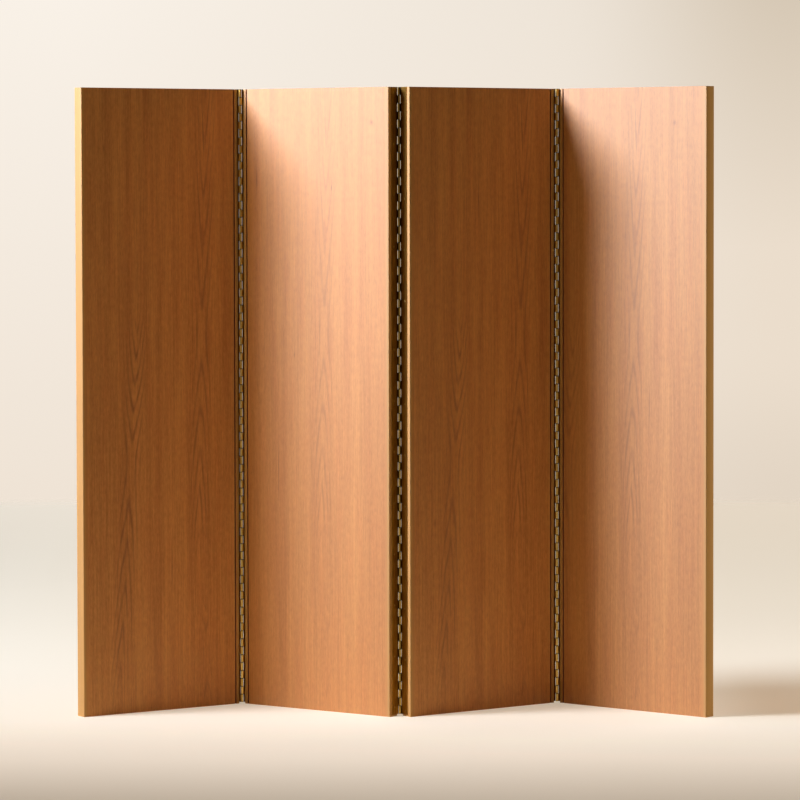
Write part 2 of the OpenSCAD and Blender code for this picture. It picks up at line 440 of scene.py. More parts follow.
def veneer(body, face, shift):
    """Satin lacquered veneer. The leaves are slip-matched, so a panel only shifts the figure."""
    shop = material_shop(f"veneer_{body}_{face}")
    own = shop.panel_coords(body)
    x, y, z = shop.split(own)
    if face == "back":
        x = shop.math("SUBTRACT", PANEL_WIDTH, x)
    flecks = fleck_marks(shop, x, z, body)
    x = shop.math("SUBTRACT", x, shift[0])
    z = shop.math("SUBTRACT", z, shift[1])
    wood = shop.joined(x, y, z)

    wander = shop.noise(shop.stretched(wood, (9, 0, 2.2)), detail=3)
    wobble = shop.math("MULTIPLY_ADD", wander, 0.014, -0.007)
    fine_wander = shop.noise(shop.stretched(wood, (60, 0, 9)), detail=2)
    jitter = shop.math("MULTIPLY_ADD", fine_wander, 0.44, -0.22)
    lines = None
    for figure, share in zip(FIGURES, FIGURE_STRENGTH[body]):
        one = figure_lines(shop, x, z, wobble, jitter, figure, share)
        lines = one if lines is None else shop.math("MAXIMUM", lines, one)
    uneven = shop.noise(shop.stretched(wood, (90, 0, 7)), detail=2)
    lines = shop.math("MULTIPLY", lines, shop.remap(uneven, 0.28, 0.62, 0.35, 1.0))

    bands = shop.noise(shop.stretched(wood, (30, 0, 0.7), (3, 0, 0)), detail=3, rough=0.6)
    streaks = shop.noise(shop.stretched(wood, (170, 0, 3)), detail=4, rough=0.6)
    hairs = shop.noise(shop.stretched(wood, (520, 0, 8)), detail=2)
    mottle = shop.noise(shop.stretched(wood, (60, 0, 34)), detail=3, rough=0.6)
    ticks = shop.noise(shop.stretched(wood, (230, 0, 60)), detail=2)
    pores = shop.noise(shop.stretched(wood, (900, 0, 42)), detail=1)
    pores = shop.remap(pores, 0.62, 0.74)

    tone = 0.5
    for pattern, weight in ((bands, 1.3), (streaks, 1.2), (hairs, 0.8), (mottle, 0.6),
                            (ticks, 0.9)):
        weight *= GRAIN[body]
        part = shop.math("MULTIPLY_ADD", pattern, weight, -weight / 2)
        tone = shop.math("ADD", part, tone)
    tone = shop.math("MINIMUM", shop.math("MAXIMUM", tone, 0.0), 1.0)
    colour = shop.blend(tone, DARK_WOOD, LIGHT_WOOD)
    colour = shop.blend(1.0, colour, LEAF_TINT[body], "MULTIPLY")
    redness = shop.noise(shop.stretched(wood, (34, 0, 3), (9, 0, 4)), detail=2)
    colour = shop.blend(shop.remap(redness, 0.4, 0.7, 0.0, 0.35), colour, RED_TINT,
                        "MULTIPLY")
    colour = shop.blend(lines, colour, RING_TINT, "MULTIPLY")
    colour = shop.blend(flecks, colour, FLECK_TINT, "MULTIPLY")
    colour = shop.blend(shop.math("MULTIPLY", pores, 0.5), colour, PORE_TINT, "MULTIPLY")
    rough = shop.math("MULTIPLY_ADD", streaks, 0.10, 0.52)
    rough = shop.math("ADD", rough, shop.math("MULTIPLY", pores, 0.12))
    height = shop.math("MULTIPLY_ADD", pores, -1.0, shop.math("MULTIPLY", streaks, 0.5))
    return shop.surface(colour, rough, height, 0.04 * MM, **LACQUER)


def strip_wood(body):
    """Straight-grained solid wood, yellower than the veneer, with painted shade darkening its
    groove.
    """
    shop = material_shop(f"lipping_wood_{body}")
    own = shop.panel_coords(body)
    bands = shop.noise(shop.stretched(own, (120, 120, 2.0)), detail=3, rough=0.6)
    streaks = shop.noise(shop.stretched(own, (600, 600, 9)), detail=3, rough=0.6)
    tone = shop.math("MULTIPLY_ADD", bands, 0.9, -0.45)
    tone = shop.math("ADD", tone, shop.math("MULTIPLY_ADD", streaks, 0.7, -0.35))
    tone = shop.math("ADD", tone, 0.5, clamp=True)
    colour = shop.blend(tone, STRIP_DARK, STRIP_LIGHT)
    x, y, z = shop.split(own)
    from_end = shop.math("MINIMUM", x, shop.math("SUBTRACT", PANEL_WIDTH, x))
    stained = shop.remap(from_end, *STAIN_RUNS_OUT)
    colour = shop.blend(stained, colour, shop.blend(tone, DARK_WOOD, LIGHT_WOOD))
    from_face = shop.math("MINIMUM", y, shop.math("SUBTRACT", PANEL_THICKNESS, y))
    below_top = shop.math("MINIMUM", z, shop.math("SUBTRACT", SCREEN_HEIGHT, z))
    # painted shade: the groove is coloured dark from about a millimetre inside it, but not at
    # its ends
    groove = shop.remap(from_end, LIPPING_WIDTH - GROOVE_WIDTH - 0.2 * MM,
                        LIPPING_WIDTH - GROOVE_WIDTH)
    groove = shop.math("MULTIPLY", groove, shop.remap(from_face, 0.2 * MM, 1.2 * MM))
    groove = shop.math("MULTIPLY", groove, shop.math("GREATER_THAN", below_top, 0.5 * MM))
    colour = shop.blend(groove, colour, GROOVE_SHADE_PAINT)
    rough = shop.math("MULTIPLY_ADD", streaks, 0.12, 0.52)
    return shop.surface(colour, rough, streaks, 0.03 * MM, **LACQUER)


def rail_wood(body):
    """Plain wood with its grain along the panel."""
    shop = material_shop(f"rail_wood_{body}")
    own = shop.panel_coords(body)
    bands = shop.noise(shop.stretched(own, (3, 140, 140)), detail=3, rough=0.6)
    streaks = shop.noise(shop.stretched(own, (14, 700, 700)), detail=3)
    tone = shop.math("MULTIPLY_ADD", bands, 1.2, -0.1)
    colour = shop.blend(tone, srgb(176, 122, 78), srgb(205, 156, 108))
    return shop.surface(colour, 0.62, streaks, 0.05 * MM)


def honeycomb_paper(body):
    """Kraft paper of the hidden core."""
    shop = material_shop(f"core_paper_{body}")
    own = shop.panel_coords(body)
    cells = shop.new("ShaderNodeTexVoronoi", feature="DISTANCE_TO_EDGE")
    shop.feed(cells.inputs["Vector"], shop.stretched(own, (45, 45, 45)))
    cells.inputs["Randomness"].default_value = 0.1
    wall = shop.remap(cells.outputs["Distance"], 0.0, 0.06, 1.0, 0.0)
    fibres = shop.noise(shop.stretched(own, (900, 900, 900)), detail=2)
    paper = shop.blend(fibres, srgb(176, 142, 100), srgb(198, 165, 122))
    colour = shop.blend(wall, srgb(92, 66, 40), paper)
    return shop.surface(colour, 0.85, wall, 0.4 * MM)


# Brass

SPECK = srgb(84, 62, 26)
# painted shade, put where the knuckles meet and in the corner between knuckle and leaf
JOINT_SHADE_PAINT = srgb(62, 36, 10)
JOINT_SHADE_SHARE = 0.85
# dark and light tone of the leaf's flat and of its rubbed knuckles
FLAT_BRASS = (srgb(150, 112, 50), srgb(204, 166, 92))
RUBBED_BRASS = (srgb(206, 174, 92), srgb(240, 214, 132))
# how far in front of the panel's face the rubbed knuckle gives way to the flat of the leaf
KNUCKLE_ENDS = (-4.6 * MM, -4.0 * MM)


def patina(shop, own):
    """Cloudy patches and small specks, as old brass has them."""
    clouds = shop.noise(shop.stretched(own, (120, 120, 22)), detail=4, rough=0.6)
    specks = shop.noise(shop.stretched(own, (900, 900, 400)), detail=2)
    return clouds, specks


def brass_surface(shop, colour, clouds, specks, rough):
    """Dark specks over the tone, and a gloss that changes with the clouds."""
    colour = shop.blend(shop.remap(specks, 0.6, 0.75, 0.0, 0.4), colour, SPECK)
    roughness = shop.math("MULTIPLY_ADD", clouds, -0.12, rough + 0.06)
    return shop.surface(colour, roughness, specks, 0.02 * MM, Metallic=1.0)


def brass(name, light, dark, rough, wear):
    """Aged brass with a dull patina; wear shows more of the light tone."""
    shop = material_shop(name)
    clouds, specks = patina(shop, shop.object_coords())
    tone = shop.remap(clouds, 0.24 - wear, 0.84 - wear)
    return brass_surface(shop, shop.blend(tone, dark, light), clouds, specks, rough)


def leaf_brass(body):
    """A leaf's brass: brown on the flat, rubbed bright on the knuckles, with shade painted dark
    between them.
    """
    shop = material_shop(f"leaf_brass_{body}")
    own = shop.panel_coords(body)
    clouds, specks = patina(shop, own)
    tone = shop.remap(clouds, 0.24, 0.84)
    flat = shop.blend(tone, *FLAT_BRASS)
    rubbed = shop.blend(tone, *RUBBED_BRASS)
    _, y, z = shop.split(own)
    from_face = shop.math("MINIMUM", y, shop.math("SUBTRACT", PANEL_THICKNESS, y))
    on_knuckle = shop.remap(from_face, *KNUCKLE_ENDS, 1.0, 0.0)
    off_knuckle = shop.remap(from_face, *KNUCKLE_ENDS)
    past_face = shop.remap(from_face, -1.0 * MM, 0.0, 1.0, 0.0)
    past_rim = shop.remap(from_face, -1.6 * MM, -0.6 * MM, 1.0, 0.0)
    colour = shop.blend(on_knuckle, flat, rubbed)
    # painted shade: dark colour where the knuckles meet and in the corner between knuckle and
    # leaf, where shade falls
    knuckles_up = shop.math("DIVIDE", shop.math("SUBTRACT", z, FLOOR_GAP), KNUCKLE_PITCH)
    from_joint = shop.math("PINGPONG", knuckles_up, 0.5)
    joint = shop.math("MULTIPLY", shop.remap(from_joint, 0.03, 0.10, 1.0, 0.0), past_face)
    painted_shade = shop.math("MAXIMUM", joint, shop.math("MULTIPLY", past_rim, off_knuckle))
    colour = shop.blend(shop.math("MULTIPLY", painted_shade, JOINT_SHADE_SHARE), colour, JOINT_SHADE_PAINT)
    return brass_surface(shop, colour, clouds, specks, 0.30)


LEAF_BRASS = {body: leaf_brass(body) for body in PANELS}
PIN_BRASS = brass("pin_brass", srgb(208, 170, 96), srgb(160, 124, 62), 0.32, 0.0)
SCREW_BRASS = brass("screw_brass", srgb(214, 184, 112), srgb(150, 122, 64), 0.34, 0.1)


# Panels

def lipping_outline(hinged):
    end, back = PANEL_THICKNESS, LIPPING_WIDTH
    outline = [(ARRIS, 0)]
    if hinged:
        outline += [(back - GROOVE_WIDTH, 0), (back - GROOVE_WIDTH, GROOVE_DEPTH),
                    (back, GROOVE_DEPTH)]
    else:
        outline += [(back, 0)]
    outline += [(back, end), (ARRIS, end), (0, end - ARRIS), (0, ARRIS)]
    return outline


# end, face on the knuckle side and whether a hinge is fixed to it, for each lipping
LIPPINGS = {
    ("panel_1", "left"): ("front", False),
    ("panel_1", "right"): ("front", True),
    ("panel_2", "left"): ("front", True),
    ("panel_2", "right"): ("back", True),
    ("panel_3", "left"): ("back", True),
    ("panel_3", "right"): ("front", True),
    ("panel_4", "left"): ("front", True),
    ("panel_4", "right"): ("front", False),
}
# how far the veneer's figure is shifted on each panel, across and up
SHIFTS = {
    "panel_1": (0.0, 0.0),
    "panel_2": (-0.107, 0.012),
    "panel_3": (0.0, 0.0),
    "panel_4": (-0.132, 0.0),
}
BACK_SHIFTS = {
    "panel_1": (0.02, -0.15),
    "panel_2": (-0.09, 0.08),
    "panel_3": (0.045, 0.05),
    "panel_4": (-0.12, -0.1),
}

for body in PANELS:
    place = PLACES[body]["place"]
    edge_wood = strip_wood(body)
    inner_wood = rail_wood(body)
    for face, shift in (("front", SHIFTS[body]), ("back", BACK_SHIFTS[body])):
        node = f"{body}_{face}_board"
        low, high = size_in_panel(body, node)
        board = piece(f"{body}_{face}_veneer",
                      prism(rectangle(low, high), low.z, high.z, BOARD_SOFTNESS), place, FLAT)
        add(board, body, "veneer", veneer(body, face, shift), node)
    for end in ("left", "right"):
        face, hinged = LIPPINGS[body, end]
        strip = piece(f"{body}_{end}_strip",
                      prism(lipping_outline(hinged), 0, SCREEN_HEIGHT, STRIP_SOFTNESS),
                      edge_place(body, end, face), FLAT)
        add(strip, body, "lipping", edge_wood, f"{body}_{end}_lipping")
    for level in ("top", "bottom"):
        node = f"{body}_{level}_rail"
        low, high = size_in_panel(body, node)
        bar = piece(f"{body}_{level}_bar",
                    prism(rectangle(low, high), low.z, high.z, RAIL_SOFTNESS), place, FLAT)
        add(bar, body, "rail", inner_wood, node)
    core = NODES[f"{body}_core"]
    core.data.materials.clear()
    core.data.materials.append(honeycomb_paper(body))


# Geometry node trees

class Bench(Wiring):
    """Builds one geometry node tree with named sizes."""

    def __init__(self, name, sizes):
        self.tree = bpy.data.node_groups.new(name, "GeometryNodeTree")
        face = self.tree.interface
        face.new_socket(name="Geometry", in_out="INPUT", socket_type="NodeSocketGeometry")
        kinds = {float: "NodeSocketFloat", int: "NodeSocketInt"}
        for label, value in sizes.items():
            socket = face.new_socket(name=label, in_out="INPUT", socket_type=kinds[type(value)])
            socket.default_value = value
        face.new_socket(name="Material", in_out="INPUT", socket_type="NodeSocketMaterial")
        face.new_socket(name="Geometry", in_out="OUTPUT", socket_type="NodeSocketGeometry")
        self.given = self.new("NodeGroupInput").outputs
        self.result = self.new("NodeGroupOutput").inputs[0]

    def step(self, kind, settings=None, **inputs):
        """A node with its inputs given by name; underscores stand for spaces."""
        node = self.new(kind, **(settings or {}))
        for key, value in inputs.items():
            self.feed(node.inputs[key.replace("_", " ")], value)
        return node

    def end(self, geometry):
        real = self.step("GeometryNodeRealizeInstances", Geometry=geometry)
        coloured = self.step("GeometryNodeSetMaterial", Geometry=real.outputs[0],
                             Material=self.given["Material"])
        self.feed(self.result, coloured.outputs[0])
        return self.tree


def knuckle_tree():
    """Adds to a leaf its knuckles, each one the leaf's own sheet rolled round the pin."""
    bench = Bench("rolled_knuckles", {
        "Bore Radius": BORE_RADIUS, "Sheet": LEAF_THICKNESS, "Stand Off": PIN_STAND_OFF,
        "Stem": KNUCKLE_RADIUS + SWING_CLEARANCE, "Seam Turn": SEAM_TURN,
        "Knuckle Length": KNUCKLE_PITCH - KNUCKLE_GAP, "Edge Round": KNUCKLE_EDGE_ROUND,
        "First Height": 0.0, "Spacing": 2 * KNUCKLE_PITCH,
        "Knuckles": KNUCKLES // 2, "Roll Points": ROLL_POINTS,
    })
    given = bench.given
    half_sheet = bench.math("MULTIPLY", given["Sheet"], 0.5)
    middle_radius = bench.math("ADD", given["Bore Radius"], half_sheet)
    centre_x = bench.math("MULTIPLY", bench.math("ADD", middle_radius, half_sheet), -1.0)
    centre_y = bench.math("MULTIPLY", given["Stand Off"], -1.0)
    # the path of the sheet: down the stem, then round the pin to the seam
    line = bench.step("GeometryNodeMeshLine", Count=given["Roll Points"])
    index = bench.new("GeometryNodeInputIndex").outputs[0]
    on_stem = bench.math("LESS_THAN", index, 0.5)
    steps = bench.math("SUBTRACT", given["Roll Points"], 2.0)
    done = bench.math("MAXIMUM", bench.math("SUBTRACT", index, 1.0), 0.0)
    roll = bench.math("SUBTRACT", given["Seam Turn"], 2 * math.pi)
    turn = bench.math("MULTIPLY", bench.math("DIVIDE", done, steps), roll)
    path_x = bench.math("ADD", centre_x,
                        bench.math("MULTIPLY", bench.math("COSINE", turn), middle_radius))
    path_y = bench.math("ADD", centre_y,
                        bench.math("MULTIPLY", bench.math("SINE", turn), middle_radius))
    path_y = bench.math("ADD", path_y, bench.math("MULTIPLY", on_stem, given["Stem"]))
    path = bench.step("GeometryNodeSetPosition", Geometry=line.outputs[0],
                      Position=bench.joined(path_x, path_y, 0.0))
    curve = bench.step("GeometryNodeMeshToCurve", Mesh=path.outputs[0])
    upright = bench.step("GeometryNodeSetCurveNormal", {"mode": "Z_UP"},
                         Curve=curve.outputs[0])
    section = bench.step("GeometryNodeCurvePrimitiveQuadrilateral",
                         Width=given["Sheet"], Height=given["Knuckle Length"])
    rounded = bench.step("GeometryNodeFilletCurve", {"mode": "POLY"},
                         Curve=section.outputs[0], Count=1, Radius=given["Edge Round"])
    knuckle = bench.step("GeometryNodeCurveToMesh", Curve=upright.outputs[0],
                         Profile_Curve=rounded.outputs[0], Fill_Caps=True)
    spots = bench.step("GeometryNodeMeshLine", Count=given["Knuckles"],
                       Start_Location=bench.joined(0.0, 0.0, given["First Height"]),
                       Offset=bench.joined(0.0, 0.0, given["Spacing"]))
    row = bench.step("GeometryNodeInstanceOnPoints", Points=spots.outputs[0],
                     Instance=knuckle.outputs[0])
    whole = bench.new("GeometryNodeJoinGeometry")
    bench.tree.links.new(row.outputs[0], whole.inputs[0])
    bench.tree.links.new(given["Geometry"], whole.inputs[0])
    return bench.end(whole.outputs[0])


def row_tree():
    """Repeats a screw down a leaf, each one turned a little further than the last."""
    bench = Bench("screw_row", {
        "Screws": SCREWS_IN_ROW, "First Height": 0.0,
        "Spacing": -HINGE_LENGTH / SCREWS_IN_ROW, "Slot Step": SLOT_STEP, "Line": SCREW_LINE,
    })
    given = bench.given
    spots = bench.step("GeometryNodeMeshLine", Count=given["Screws"],
                       Start_Location=bench.joined(0.0, given["Line"], given["First Height"]),
                       Offset=bench.joined(0.0, 0.0, given["Spacing"]))
    index = bench.new("GeometryNodeInputIndex").outputs[0]
    turn = bench.math("MULTIPLY", index, given["Slot Step"])
    row = bench.step("GeometryNodeInstanceOnPoints", Points=spots.outputs[0],
                     Instance=given["Geometry"], Rotation=bench.joined(turn, 0.0, 0.0))
    return bench.end(row.outputs[0])


def grow(obj, tree, material, **sizes):
    """Runs a tree on an object and keeps what it makes as a plain mesh."""
    modifier = obj.modifiers.new(tree.name, "NODES")
    modifier.node_group = tree
    for item in tree.interface.items_tree:
        if item.in_out == "INPUT" and item.name.replace(" ", "_") in sizes:
            modifier[item.identifier] = sizes[item.name.replace(" ", "_")]
        elif item.in_out == "INPUT" and item.name == "Material":
            modifier[item.identifier] = material
    finish_mesh(obj)


KNUCKLE_TREE = knuckle_tree()
ROW_TREE = row_tree()


# Hinges

def circle_points(radius, y, z):
    turns = [2 * math.pi * i / HOLE_SIDES for i in range(HOLE_SIDES)]
    return [(y + radius * math.cos(turn), z + radius * math.sin(turn)) for turn in turns]


def leaf_plate(heights):
    """The flat of a leaf, with a countersunk hole for each screw."""
    bm = bmesh.new()
    low_y = -PIN_STAND_OFF + KNUCKLE_RADIUS + SWING_CLEARANCE
    soft = PLATE_SOFTNESS
    bottom, top = FLOOR_GAP, SCREEN_HEIGHT
    # rings of points round the plate, from the outer face to the one on the wood
    rings = (
        (-LEAF_THICKNESS, soft), (-LEAF_THICKNESS + soft, 0), (-soft, 0), (0, soft),
    )
    loops = []
    for x, inset in rings:
        loops.append([bm.verts.new(p) for p in (
            (x, low_y, bottom + inset), (x, LEAF_COVER - inset, bottom + inset),
            (x, LEAF_COVER - inset, top - inset), (x, low_y, top - inset))])
    for a, b in zip(loops, loops[1:]):
        for i in range(4):
            j = (i + 1) % 4
            bm.faces.new((a[i], a[j], b[j], b[i]))
    outer_edges = [bm.edges.get((loops[0][i], loops[0][(i + 1) % 4])) for i in range(4)]
    inner_edges = [bm.edges.get((loops[3][i], loops[3][(i + 1) % 4])) for i in range(4)]
    for height in heights:
        wide = [bm.verts.new((-LEAF_THICKNESS, y, z)) for y, z in circle_points(
            HEAD_DIAMETER / 2 + SCREW_CLEARANCE, SCREW_LINE, height)]
        narrow = [bm.verts.new((0, y, z)) for y, z in circle_points(
            SHANK_DIAMETER / 2 + SCREW_CLEARANCE, SCREW_LINE, height)]
        n = len(wide)
        for i in range(n):
            j = (i + 1) % n
            bm.faces.new((wide[i], wide[j], narrow[j], narrow[i]))
            outer_edges.append(bm.edges.get((wide[i], wide[j])))
            inner_edges.append(bm.edges.get((narrow[i], narrow[j])))
    for edges in (outer_edges, inner_edges):
        bmesh.ops.triangle_fill(bm, edges=edges, use_beauty=True, use_dissolve=False)
    bmesh.ops.recalc_face_normals(bm, faces=bm.faces)
    return bm


def lathe(profile, count):
    """A solid turned round the x axis, from points of (place along x, radius)."""
    bm = bmesh.new()
    rings = []
    for x, radius in profile:
        if radius == 0:
            rings.append([bm.verts.new((x, 0, 0))])
        else:
            rings.append([bm.verts.new((x, radius * math.cos(a), radius * math.sin(a)))
                          for a in (2 * math.pi * i / count for i in range(count))])
    for a, b in zip(rings, rings[1:]):
        for i in range(count):
            j = (i + 1) % count
            if len(a) == 1:
                bm.faces.new((a[0], b[j], b[i]))
            elif len(b) == 1:
                bm.faces.new((a[i], a[j], b[0]))
            else:
                bm.faces.new((a[i], a[j], b[j], b[i]))
    bmesh.ops.recalc_face_normals(bm, faces=bm.faces)
    return bm


def one_screw(name):
    """A slotted countersunk screw, pointing along +x, with its head flush with the leaf."""
    head = HEAD_DIAMETER / 2
    shank = SHANK_DIAMETER / 2
    tip = SCREW_LENGTH - LEAF_THICKNESS
    bm = lathe([(-LEAF_THICKNESS, 0), (-LEAF_THICKNESS, head - HEAD_RIM),
                (-LEAF_THICKNESS + HEAD_RIM / 2, head - HEAD_RIM / 4), (0, shank),
                (tip - POINT_LENGTH, shank), (tip, POINT_DIAMETER / 2), (tip, 0)], SCREW_SIDES)
    screw = piece(name, bm)
    box = bmesh.new()
    bmesh.ops.create_cube(box, size=1.0)
    bmesh.ops.scale(box, vec=(2 * SLOT_DEPTH, 2 * HEAD_DIAMETER, SLOT_WIDTH), verts=box.verts)
    bmesh.ops.translate(box, vec=(-LEAF_THICKNESS, 0, 0), verts=box.verts)
    cutter = piece(name + "_slot", box)
    cut = screw.modifiers.new("slot", "BOOLEAN")
    cut.operation = "DIFFERENCE"
    cut.solver = "EXACT"
    cut.object = cutter
    finish_mesh(screw)
    bpy.data.objects.remove(cutter)
    return screw


def screw_row(margins):
    spacing = (HINGE_LENGTH - sum(margins)) / (SCREWS_IN_ROW - 1)
    return [SCREEN_HEIGHT - margins[0] - i * spacing for i in range(SCREWS_IN_ROW)], spacing


def make_leaf(hinge, side, body, end, face, margins, top_knuckle):
    name = f"{hinge}_{side}"
    place = edge_place(body, end, face)
    heights, spacing = screw_row(margins)
    leaf = piece(f"{name}_rolled_leaf", leaf_plate(heights))
    first = 0 if top_knuckle else 1
    grow(leaf, KNUCKLE_TREE, LEAF_BRASS[body],
         Knuckles=(KNUCKLES + 1) // 2 if top_knuckle else KNUCKLES // 2,
         First_Height=FLOOR_GAP + (first + 0.5) * KNUCKLE_PITCH)
    put(leaf, place)
    smooth(leaf.data, SHARP)
    add(leaf, body, "hinge_brass", LEAF_BRASS[body], f"{name}_leaf")
    row = one_screw(f"{name}_slotted_screws")
    grow(row, ROW_TREE, SCREW_BRASS, First_Height=heights[0], Spacing=-spacing)
    put(row, place)
    smooth(row.data, SCREW_SHARP)
    add(row, body, "screw_brass", SCREW_BRASS, f"{name}_screws")


def make_pin(hinge, body, end, face):
    bottom = FLOOR_GAP + PIN_RECESS
    top = SCREEN_HEIGHT - PIN_RECESS
    soft = PIN_SOFTNESS
    # each end is rounded in two steps, from the flat to the full radius
    part = 0.3 * soft
    lower = [(bottom, 0), (bottom, PIN_RADIUS - soft), (bottom + part, PIN_RADIUS - part),
             (bottom + soft, PIN_RADIUS)]
    upper = [(top - soft, PIN_RADIUS), (top - part, PIN_RADIUS - part),
             (top, PIN_RADIUS - soft), (top, 0)]
    bm = lathe(lower + upper, PIN_SIDES)
    # turned from the x axis to upright, and moved to where the knuckles are rolled
    upright = Matrix(((0, 0, -1, -KNUCKLE_RADIUS), (0, 1, 0, -PIN_STAND_OFF), (1, 0, 0, 0),
                      (0, 0, 0, 1)))
    pin = piece(f"{hinge}_turned_pin", bm, edge_place(body, end, face) @ upright)
    add(pin, body, "pin_brass", PIN_BRASS, f"{hinge}_pin")


# name, panel on the left and on the right, face on the knuckle side, side of the top knuckle,
# and the panel and end that the pin stays with
HINGES = (
    ("left_hinge", "panel_1", "panel_2", "front", "left", "panel_2", "left"),
    ("centre_hinge", "panel_2", "panel_3", "back", "right", "panel_2", "right"),
    ("right_hinge", "panel_3", "panel_4", "front", "right", "panel_3", "right"),
)
for hinge, left_body, right_body, face, top_side, pin_body, pin_end in HINGES:
    make_leaf(hinge, "left", left_body, "right", face, LEFT_LEAF_MARGINS, top_side == "left")
    make_leaf(hinge, "right", right_body, "left", face, RIGHT_LEAF_MARGINS, top_side == "right")
    make_pin(hinge, pin_body, pin_end, face)


# Stage, light and camera

def colour_ramp(shop, place, stops):
    """Blends from colour to colour along a value."""
    ramp = shop.new("ShaderNodeValToRGB")
    shop.feed(ramp.inputs[0], place)
    elements = ramp.color_ramp.elements
    while len(elements) < len(stops):
        elements.new(0.5)
    for element, (position, colour) in zip(elements, stops):
        element.position = position
        element.color = (*colour, 1)
    return ramp.outputs[0]


# how far the floor reaches from the middle, each way
FLOOR_REACH = 8.0
# where the glow starts in front of the screen and where it ends behind it, and its colour
# from there to there
GLOW_FROM, GLOW_TO = -3.4, 7.4
GLOW = (
    (0.0, (0.60, 0.53, 0.44)), (0.15, (0.31, 0.24, 0.17)), (0.22, (0.42, 0.34, 0.26)),
    (0.36, (0.41, 0.36, 0.29)), (0.6, (0.55, 0.485, 0.40)), (1.0, (0.675, 0.595, 0.50)),
)
# paper as the camera sees it, and as it throws the light back up
PAPER = (0.76, 0.75, 0.735, 1)
WARM_PAPER = (0.75, 0.66, 0.46, 1)


def floor_material():
    """Pale paper: the key light falls on it, and a glow fills up what the light leaves dim."""
    shop = material_shop("pale_floor")
    x, y, _ = shop.split(shop.object_coords())
    along = shop.remap(y, GLOW_FROM, GLOW_TO, smooth=False)
    glow_colour = colour_ramp(shop, along, GLOW)
    # near the screen the glow grows towards the right, and further back it pales on the left
    across = shop.math("MAXIMUM", shop.math("MINIMUM", x, 1.8), -1.5)
    across = shop.math("MULTIPLY", across, shop.remap(y, -0.3, 2.2, 0.045, -0.01))
    leftward = shop.math("MULTIPLY", shop.remap(x, -1.5, 0.0, 1.5, 0.0, smooth=False),
                         shop.remap(y, -0.8, 1.2, 0.0, 0.05))
    # a painted shadow: the glow is darkened where the screen's shadow falls on the floor to its
    # right
    shaded = shop.math("MULTIPLY", shop.remap(x, 0.85, 1.15), shop.remap(y, -0.32, -0.05))
    shaded = shop.math("MULTIPLY", shaded, shop.remap(y, 0.4, 1.3, 1.0, 0.0))
    # what each of them adds to the red, green and blue
    extra = []
    for share, left_share, shaded_share in (
            (1.0, 0.6, -0.10), (0.9, 1.1, -0.13), (0.8, 1.5, -0.13)):
        part = shop.math("MULTIPLY", across, share)
        part = shop.math("MULTIPLY_ADD", leftward, left_share, part)
        extra.append(shop.math("MULTIPLY_ADD", shaded, shaded_share, part))
    glow_colour = shop.blend(1.0, glow_colour, shop.joined(*extra), "ADD")
    rays = shop.new("ShaderNodeLightPath")
    seen = shop.math("MAXIMUM", rays.outputs["Is Camera Ray"], rays.outputs["Is Glossy Ray"])
    seen = shop.math("MAXIMUM", seen, rays.outputs["Is Transmission Ray"])
    # painted shade: the paper is darker in a band in front of the screen, and darker on the
    # left, which holds back the lamp's pool of light there
    paper = shop.math("MAXIMUM", shop.remap(y, -1.8, -0.25, 0.40, 1.0, smooth=False),
                      shop.remap(y, -3.2, -1.8, 1.0, 0.40, smooth=False))
    paper = shop.math("MULTIPLY", paper, shop.remap(x, -4.5, -1.2, 0.55, 1.0))
    paper_colour = shop.blend(rays.outputs["Is Camera Ray"], WARM_PAPER, PAPER)
    diffuse = shop.new("ShaderNodeBsdfDiffuse")
    shop.feed(diffuse.inputs["Color"],
              shop.blend(1.0, paper_colour, shop.joined(paper, paper, paper), "MULTIPLY"))
    glow = shop.new("ShaderNodeEmission")
    shop.feed(glow.inputs["Color"], glow_colour)
    shop.feed(glow.inputs["Strength"], seen)
    both = shop.new("ShaderNodeAddShader")
    shop.feed(both.inputs[0], diffuse.outputs[0])
    shop.feed(both.inputs[1], glow.outputs[0])
    # seen from the camera, it melts into the backdrop on every side
    gone = shop.math("MAXIMUM", shop.remap(shop.math("ABSOLUTE", x), 2.4, 5.5),
                     shop.remap(y, -5.5, -2.4, 1.0, 0.0))
    gone = shop.math("MULTIPLY", gone, rays.outputs["Is Camera Ray"])
    gone = shop.math("MAXIMUM", gone, shop.remap(y, 7.2, 7.9))
    clear = shop.new("ShaderNodeBsdfTransparent")
    mix = shop.new("ShaderNodeMixShader")
    shop.feed(mix.inputs[0], gone)
    shop.feed(mix.inputs[1], both.outputs[0])
    shop.feed(mix.inputs[2], clear.outputs[0])
    out = shop.new("ShaderNodeOutputMaterial")
    shop.feed(out.inputs["Surface"], mix.outputs[0])
    return shop.owner


def make_floor():
    bm = bmesh.new()
    bmesh.ops.create_grid(bm, x_segments=8, y_segments=8, size=FLOOR_REACH)
    floor = piece("floor", bm)
    floor.data.materials.append(floor_material())


# the room's own warm light, which fills the shade
ROOM_LIGHT = (1.0, 0.74, 0.36, 1)
ROOM_STRENGTH = 0.115


